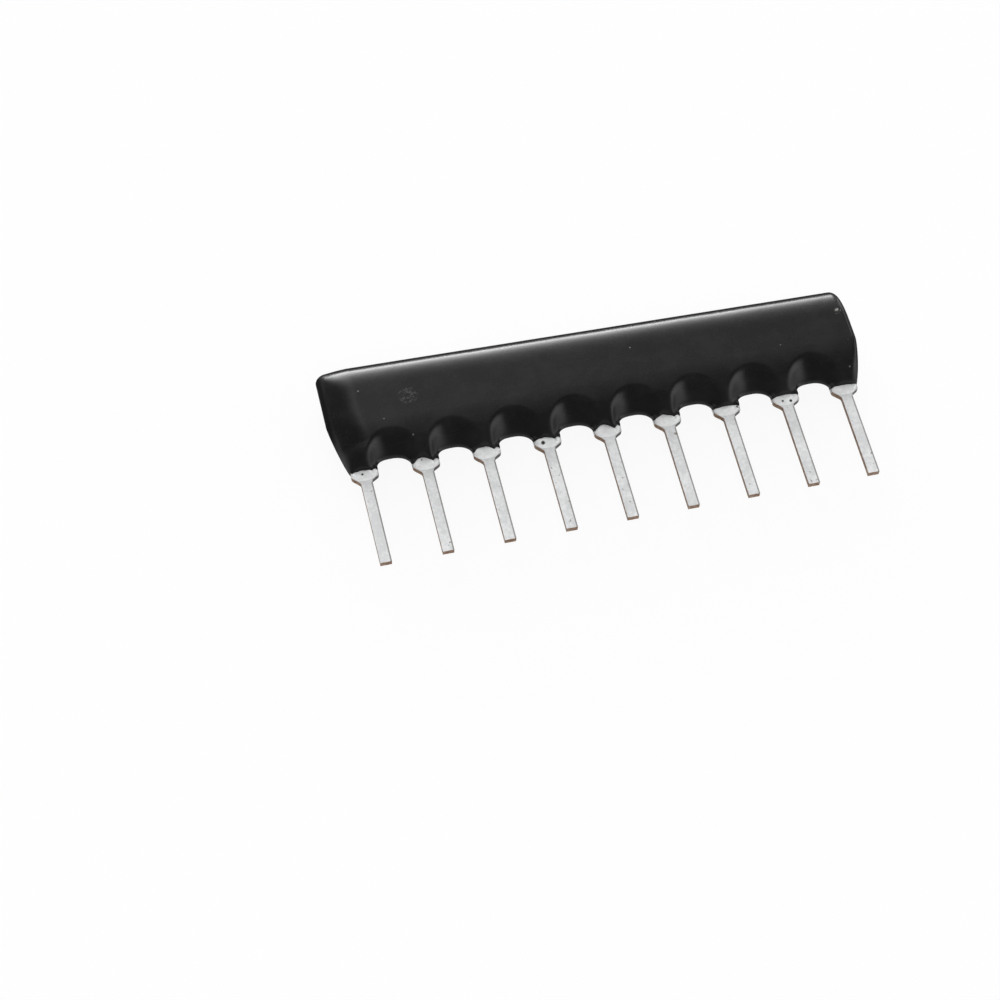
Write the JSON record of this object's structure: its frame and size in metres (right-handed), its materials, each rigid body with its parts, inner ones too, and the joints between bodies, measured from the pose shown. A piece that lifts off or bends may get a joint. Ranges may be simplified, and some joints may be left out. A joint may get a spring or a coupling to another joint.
{
  "type": "resistor network",
  "caption": "Single-in-line resistor network: a printed ceramic strip in a black dipped epoxy coat with a row of flat tinned leads along one edge.",
  "frame": {"origin": "under the middle of the outline, on the bench that the back of the body rests on", "axes": "+X along the lead row from the first lead to the last, +Y from the lead tips to the top edge of the body, +Z out of the marked face"},
  "size_m": [0.0226, 0.0092, 0.0021],
  "materials": {
    "epoxy": "dipped black epoxy, semi-gloss",
    "alumina": "fired, matt white",
    "silver_print": "fired silver-palladium print, matt",
    "resistor_print": "fired resistor paste, matt black",
    "glaze": "fired green glass print",
    "tinned_strip": "copper alloy strip with a dull tin plating and bare sheared edges",
    "solder": "dull tin solder"
  },
  "bodies": {
    "root": {"coating": "epoxy", "ceramic_substrate": "alumina", "common_bus": "silver_print", "overglaze": "glaze", "pad_2": "silver_print", "pad_3": "silver_print", "pad_4": "silver_print", "pad_5": "silver_print", "pad_6": "silver_print", "pad_7": "silver_print", "pad_8": "silver_print", "pad_9": "silver_print", "resistor_1": "resistor_print", "resistor_2": "resistor_print", "resistor_3": "resistor_print", "resistor_4": "resistor_print", "resistor_5": "resistor_print", "resistor_6": "resistor_print", "resistor_7": "resistor_print", "resistor_8": "resistor_print", "lead_1": "tinned_strip", "lead_2": "tinned_strip", "lead_3": "tinned_strip", "lead_4": "tinned_strip", "lead_5": "tinned_strip", "lead_6": "tinned_strip", "lead_7": "tinned_strip", "lead_8": "tinned_strip", "lead_9": "tinned_strip", "solder_1": "solder", "solder_2": "solder", "solder_3": "solder", "solder_4": "solder", "solder_5": "solder", "solder_6": "solder", "solder_7": "solder", "solder_8": "solder", "solder_9": "solder"}
  },
  "joints": []
}
